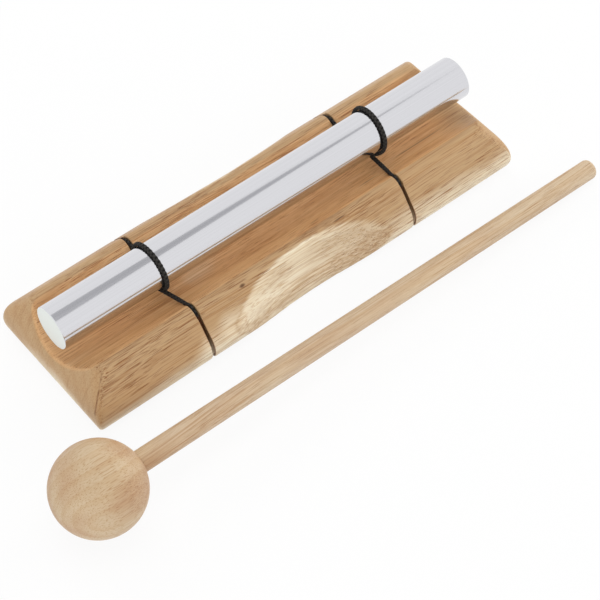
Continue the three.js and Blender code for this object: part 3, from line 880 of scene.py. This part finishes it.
def growth_rings(make, spot, pith):
    """Rings round the pith. Each darkens outward and ends sharply."""
    from_pith = make.vector("MULTIPLY", make.vector("SUBTRACT", spot, (0, *pith)), ACROSS)
    ring = make.math("FRACT", make.math("DIVIDE", make.length(from_pith), RING_SPACING))
    return make.product(make.span(ring, *RING_RISE), make.span(ring, *RING_END))


def vein_lines(make, spot):
    """Thin winding veins, in patches: they follow the middle level of a noise."""
    level = make.less(make.noise(spot, *VEIN_NOISE), NOISE_MIDDLE)
    return make.product(make.span(make.absolute(level), *VEIN_EDGE), make.pattern(spot, *VEIN_PATCHES))


def pore_dashes(make, spot, crowd):
    """Short dashes, in groups, and more of them where the crowd is higher."""
    level = make.total(make.noise(spot, *PORE_NOISE), make.total(make.pattern(spot, *PORE_GROUPS), crowd))
    return make.span(level, *PORE_EDGE)


def grain(make, spot, colour, pith, sawn, strength=1.0, rings=BASE_RINGS, crowd=0.0):
    """Stains a colour with grain, and gives its relief and roughness. sawn is 1 on end grain."""
    drift = make.vector("SUBTRACT", make.noise(spot, *DRIFT_NOISE, "Color"), (NOISE_MIDDLE,) * 3)
    spot = make.vector("ADD", spot, make.vector("MULTIPLY", drift, DRIFT_REACH))
    side = make.less(1.0, sawn)
    fibre = make.noise(spot, *FIBRE_NOISE)
    dashes = make.product(pore_dashes(make, spot, crowd), side)
    stains = [
        (make.product(make.pattern(spot, *BANDS), BAND_AMOUNT), BAND_TINT),
        (make.product(growth_rings(make, spot, pith), rings), RING_TINT),
        (make.product(make.pattern(spot, *LINES), LINE_AMOUNT), LINE_TINT),
        (make.span(fibre, *FIBRE_AMOUNT), FIBRE_TINT),
        (make.product(vein_lines(make, spot), side, VEIN_AMOUNT * strength), VEIN_TINT),
        (make.product(make.pattern(spot, *STROKES), side, STROKE_AMOUNT * strength), STROKE_TINT),
        (make.product(dashes, PORE_AMOUNT * strength), PORE_TINT),
    ]
    for amount, tint in stains:
        colour = make.stain_or_shade(colour, amount, tint)
    relief = make.less(make.product(fibre, FIBRE_RELIEF), dashes)
    return colour, relief, make.span(fibre, *WOOD_ROUGHNESS)


# The base's marks and tones.

def scoop_mask(make, spot, x, y, z):
    """1 on the sanded scoops, with a ragged edge a little outside their rims."""
    inward = make.less((BASE_WIDTH / 2 - SCOOP_FOOT_DEPTH) / MM, make.absolute(y))
    inward = make.less(make.product(inward, math.cos(SCOOP_LEAN)), make.product(z, math.sin(SCOOP_LEAN)))
    reach = make.total(inward, SCOOP_RADIUS / MM)
    away = make.math("SQRT", make.total(make.product(x, x), make.product(reach, reach)))
    inside = make.total(make.less(SCOOP_RADIUS / MM, away), make.span(z, *SANDING_MARGIN))
    return make.span(make.total(inside, make.pattern(spot, *SANDING_RAGS)), *SANDING_EDGE)


def cove_bounce_mask(make, spot, y):
    """1 in the cove, fading out over its lips: where bounce light is painted in a lighter, more orange tone.
    """
    axis = (0, 0, (BASE_HEIGHT - COVE_DEPTH + COVE_RADIUS) / MM)
    away = make.length(make.vector("MULTIPLY", make.vector("SUBTRACT", spot, axis), ACROSS))
    skin = [COVE_RADIUS / MM + reach for reach in COVE_SKIN]
    return make.product(make.span(make.absolute(y), *COVE_LIPS), make.span(away, *skin))


def kerf_shade_mask(make, x, y):
    """1 in the kerfs and on their lips, where brown shade is painted."""
    from_kerf = make.absolute(make.less(make.absolute(x), KERF_SPACING / 2 / MM))
    outside = make.span(make.absolute(y), *KERF_SHADE_START)
    return make.product(make.span(from_kerf, *KERF_SHADE_EDGE), outside)


def hip_crack(make, spot, y, z):
    """1 along the hairline crack down the near front hip."""
    inputs = {0: spot, 1: CRACK_ACROSS}
    across = make.node("ShaderNodeVectorMath", inputs, "Value", operation="DOT_PRODUCT")
    across = make.total(across, make.span(z, *CRACK_SLANT, smooth=False))
    line = make.span(make.absolute(across), *CRACK_EDGE, 0.0, make.pattern(spot, *CRACK_RAGS))
    return make.product(make.span(y, *CRACK_START), make.span(z, *CRACK_FOOT), line)


def spot_mark(make, spot, centre, size):
    """1 at a small mark in the wood, fading out at its size."""
    shares = tuple(1 / length for length in size)
    away = make.vector("MULTIPLY", make.vector("SUBTRACT", spot, centre), shares)
    return make.span(make.length(away), *MARK_EDGE)


def floor_bounce_mask(make, spot, x, z, sawn):
    """1 at the foot, up to a line that wobbles, drops on the ends and rises past the near kerf. This is where
    light bounced up from the floor is painted.
    """
    drop = make.math("MAXIMUM", make.span(x, *NEAR_END_DROP), make.product(sawn, SAWN_DROP))
    # This lifts the painted floor light higher past the near kerf.
    pale_lift = make.product(make.span(x, *PALE_LIFT_NEAR), make.span(x, *PALE_LIFT_FAR))
    level = make.total(make.total(z, make.pattern(spot, *FOOT_WOBBLE)), make.total(drop, pale_lift))
    return make.span(level, *FOOT_EDGE)


def base_wood():
    """The block: browner along the top and paler toward the foot, as painted light from the floor; a lighter,
    more orange cove as painted bounce light; less pale on the rear, as painted shade; paler on the sanded
    scoops; painted brown shade in the kerfs.
    """
    make = Shader("base_wood")
    spot = make.place(Matrix())
    x, y, z = (make.part(spot, axis) for axis in range(3))
    normal = make.node("ShaderNodeTexCoord", {}, "Normal")
    sawn = make.span(make.absolute(make.part(normal, 0)), *SAWN_SLOPE)
    sanded = scoop_mask(make, spot, x, y, z)
    sanding = make.product(sanded, make.pattern(spot, *SANDING_PATCHES), make.span(x, *SANDING_FADE))
    # Paler toward the foot: painted light bounced up from the floor.
    foot = make.product(floor_bounce_mask(make, spot, x, z, sawn), make.less(1.0, sanded))
    # The rear side gets less of it, as painted shade.
    pale = make.product(make.math("MAXIMUM", foot, sanding), make.span(y, *REAR_SHADE_FADE))
    # The cove, in the bar's shade, gets a lighter, more orange tone: painted bounce light.
    cove = make.product(cove_bounce_mask(make, spot, y), make.span(x, *COVE_FAR_FADE), make.span(x, *COVE_NEAR_FADE))
    colour = make.blend(pale, make.blend(cove, tone(*BASE_HEART), tone(*COVE_BOUNCE_TONE)), tone(*BASE_PALE))
    rays = make.product(make.pattern(spot, *RAYS), make.product(sawn, RAY_AMOUNT))
    colour = make.stain_or_shade(colour, rays, RAY_TINT)
    crowd = make.less(make.span(x, *NEAR_END_CROWD), make.product(sanding, SANDED_CROWD))
    colour, relief, rough = grain(make, spot, colour, BASE_PITH, sawn, crowd=crowd)
    for centre, size, depth in WOOD_MARKS:
        colour = make.stain_or_shade(colour, make.product(spot_mark(make, spot, centre, size), depth), MARK_TINT)
    colour = make.stain_or_shade(colour, hip_crack(make, spot, y, z), CRACK_TINT)
    # Painted brown shade down in the kerfs.
    colour = make.stain_or_shade(colour, kerf_shade_mask(make, x, y), KERF_SHADE_TINT)
    return make.finish(Base_Color=colour, Roughness=rough, Normal=make.bump(relief, BASE_BUMP))


def mallet_wood(matrix):
    """The mallet: clouded, with a paler stick and flecks."""
    make = Shader("mallet_wood")
    spot = make.place(matrix)
    along = make.part(spot, 0)
    ball = make.blend(make.pattern(spot, *MALLET_CLOUDS), tone(*MALLET_PALE), tone(*MALLET_TAN))
    colour = make.blend(make.span(along, *STICK_FADE), ball, tone(*STICK_PALE))
    pole = make.span(along, *BALL_POLE)
    colour, relief, rough = grain(make, spot, colour, MALLET_PITH, pole, MALLET_PORES, MALLET_RINGS)
    flecks = make.product(make.pattern(spot, *FLECKS), make.span(pole, 0.0, 1.0, *FLECK_AMOUNTS))
    colour = make.stain_or_shade(colour, flecks, FLECK_TINT)
    return make.finish(Base_Color=colour, Roughness=rough, Normal=make.bump(relief, MALLET_BUMP))


def bar_metal():
    """Aluminium, drawn and polished along its length and turned at its ends."""
    make = Shader("polished_aluminium")
    spot = make.place(Matrix.Translation((0, 0, BAR_AXIS_HEIGHT)))
    drawn = make.noise(spot, *DRAWN_NOISE)
    clouds = make.noise(spot, *POLISH_NOISE)
    edge = [BAR_LENGTH / 2 / MM - inset for inset in FACE_INSETS]
    face = make.span(make.absolute(make.part(spot, 0)), *edge)
    away = make.length(make.vector("MULTIPLY", spot, ACROSS))
    turning = make.math("SINE", make.product(away, TURNING_RATE))
    polish = make.total(make.span(drawn, *DRAWN_ROUGHNESS), make.span(clouds, *POLISH_ROUGHNESS))
    rough = make.total(polish, make.product(face, FACE_ROUGHNESS))
    height = make.total(make.product(drawn, DRAWN_RELIEF), make.product(turning, face, TURNING_RELIEF))
    colour = make.blend(make.span(drawn, *DRAWN_LEVELS), tone(*BAR_GREY), tone(*BAR_SILVER))
    colour = make.blend(face, colour, tone(*FACE_SILVER))
    return make.finish(Base_Color=colour, Metallic=1.0, Roughness=rough, Normal=make.bump(height, BAR_BUMP))


def cord_look():
    """Black braid, with painted sheen on its crowns and painted shade in its valleys, and brown painted shade
    on it down in the kerfs.
    """
    make = Shader("black_braid")
    spot = make.place(Matrix())
    fibre = make.noise(spot, *BRAID_NOISE)
    crown = make.node("ShaderNodeAttribute", {}, "Fac", attribute_name="crown")
    # Crowns painted lighter as sheen, valleys near black as shade.
    colour = make.blend(make.span(crown, *CROWN_SHEEN_LEVELS), tone(*CORD_BLACK), tone(*CORD_CROWN_SHEEN))
    colour = make.blend(make.span(fibre, *FUZZ_LEVELS), colour, tone(*CORD_FUZZ))
    # Brown painted on the cord low in the kerfs, as the kerf walls' shade.
    outside = make.span(make.absolute(make.part(spot, 1)), *CORD_SHADE_REACH)
    cord_kerf_shade = make.product(outside, make.span(make.part(spot, 2), *CORD_SHADE_DEPTH))
    colour = make.blend(cord_kerf_shade, colour, tone(*KERF_SHADE_BROWN))
    rough = make.span(fibre, *CORD_ROUGHNESS)
    bump = make.bump(fibre, CORD_BUMP)
    return make.finish(Base_Color=colour, Roughness=rough, Specular_IOR_Level=CORD_SPECULAR, Normal=bump)


def dress(piece, material):
    piece.data.materials.append(material)


# The stage.

def bare_nodes(owner):
    make = Nodes(owner)
    make.tree.nodes.clear()
    return make


def seen_white(make):
    """Is Camera, Glossy or Transmission Ray, as one factor from 0 to 1."""
    path = make.tree.nodes.new("ShaderNodeLightPath").outputs
    seen = make.math("MAXIMUM", path["Is Camera Ray"], path["Is Glossy Ray"])
    return make.math("MAXIMUM", seen, path["Is Transmission Ray"])


def make_world():
    """A dim grey light all round, which the camera, reflections and clear pieces see as white."""
    world = bpy.data.worlds.new("studio")
    make = bare_nodes(world)
    dim = make.node("ShaderNodeBackground", {"Color": (*WORLD_LIGHT, 1)})
    white = make.node("ShaderNodeBackground", {"Color": (1, 1, 1, 1)})
    light = make.node("ShaderNodeMixShader", {0: seen_white(make), 1: dim, 2: white})
    make.show("ShaderNodeOutputWorld", light)
    bpy.context.scene.world = world


def make_floor():
    """A sheet of paper that keeps the object's shadow and fades to plain white further out."""
    corners = [(-1, -1), (1, -1), (1, 1), (-1, 1)]
    floor = new_object("floor", [(x * FLOOR_REACH, y * FLOOR_REACH, 0) for x, y in corners], [(0, 1, 2, 3)])
    floor.location.z = -FLOOR_DROP
    material = bpy.data.materials.new("floor_white")
    make = bare_nodes(material)
    paper = make.node("ShaderNodeBsdfDiffuse", {"Color": (*FLOOR_PAPER, 1)})
    glow = make.node("ShaderNodeEmission", {"Strength": 1.0})
    away = make.length(make.node("ShaderNodeNewGeometry", {}, "Position"))
    rise = make.span(away, *FLOOR_FADE, FLOOR_LIFT, 1.0, smooth=False)
    lift = make.product(seen_white(make), rise)
    make.show("ShaderNodeOutputMaterial", make.node("ShaderNodeMixShader", {0: lift, 1: paper, 2: glow}))
    floor.data.materials.append(material)


def make_lamp(name, place, size, power):
    """A softbox that looks at the middle of the object's foot. The camera and reflections don't see it."""
    data = bpy.data.lights.new(name, "AREA")
    data.shape = "RECTANGLE"
    data.size, data.size_y = size
    data.energy = power
    lamp = bpy.data.objects.new(name, data)
    lamp.location = place
    lamp.rotation_euler = (-Vector(place)).to_track_quat("-Z", "Y").to_euler()
    lamp.visible_glossy = False
    lamp.visible_camera = False
    bpy.context.scene.collection.objects.link(lamp)


def make_card(name, corners, colour):
    """A card that only reflections see."""
    card = new_object(name, corners, [tuple(range(len(corners)))])
    card.visible_camera = card.visible_diffuse = card.visible_shadow = card.visible_transmission = False
    material = bpy.data.materials.new(name)
    make = bare_nodes(material)
    make.show("ShaderNodeOutputMaterial", make.node("ShaderNodeEmission", {"Color": (*colour, 1)}))
    card.data.materials.append(material)


def make_camera():
    data = bpy.data.cameras.new("camera")
    data.lens = CAMERA_LENS
    data.sensor_width = SENSOR
    camera = bpy.data.objects.new("camera", data)
    flat = math.cos(CAMERA_ELEVATION)
    back = Vector((
        math.sin(CAMERA_AZIMUTH) * flat, -math.cos(CAMERA_AZIMUTH) * flat, math.sin(CAMERA_ELEVATION),
    ))
    right = (-back).cross(Vector((0, 0, 1))).normalized()
    up = right.cross(-back)
    roll_right = right * math.cos(CAMERA_ROLL) + up * math.sin(CAMERA_ROLL)
    roll_up = up * math.cos(CAMERA_ROLL) - right * math.sin(CAMERA_ROLL)
    turn = Matrix((roll_right, roll_up, back)).transposed().to_4x4()
    camera.matrix_world = Matrix.Translation(CAMERA_TARGET + back * CAMERA_DISTANCE) @ turn
    bpy.context.scene.collection.objects.link(camera)
    bpy.context.scene.camera = camera


# The scene.

make_camera()
make_world()
make_floor()
for lamp in LAMPS:
    make_lamp(*lamp)
make_card("stripe_card", STRIPE_CARD, STRIPE_GLOW)

base = make_base()
dress(base, base_wood())
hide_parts("wooden_base")
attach(base, "block")

bar = make_bar()
dress(bar, bar_metal())
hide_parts("chime_bar")
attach(bar, "bar")

braid = cord_look()
make_cord("near_cord", -1, braid)
make_cord("far_cord", 1, braid)

mallet_frame = mallet_matrix()
wood = mallet_wood(mallet_frame)
head = make_head(mallet_frame)
dress(head, wood)
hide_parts("mallet_head")
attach(head, "mallet")
stick = make_stick(mallet_frame)
dress(stick, wood)
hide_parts("mallet_stick")
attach(stick, "mallet")

bpy.context.scene.view_settings.view_transform = "Standard"
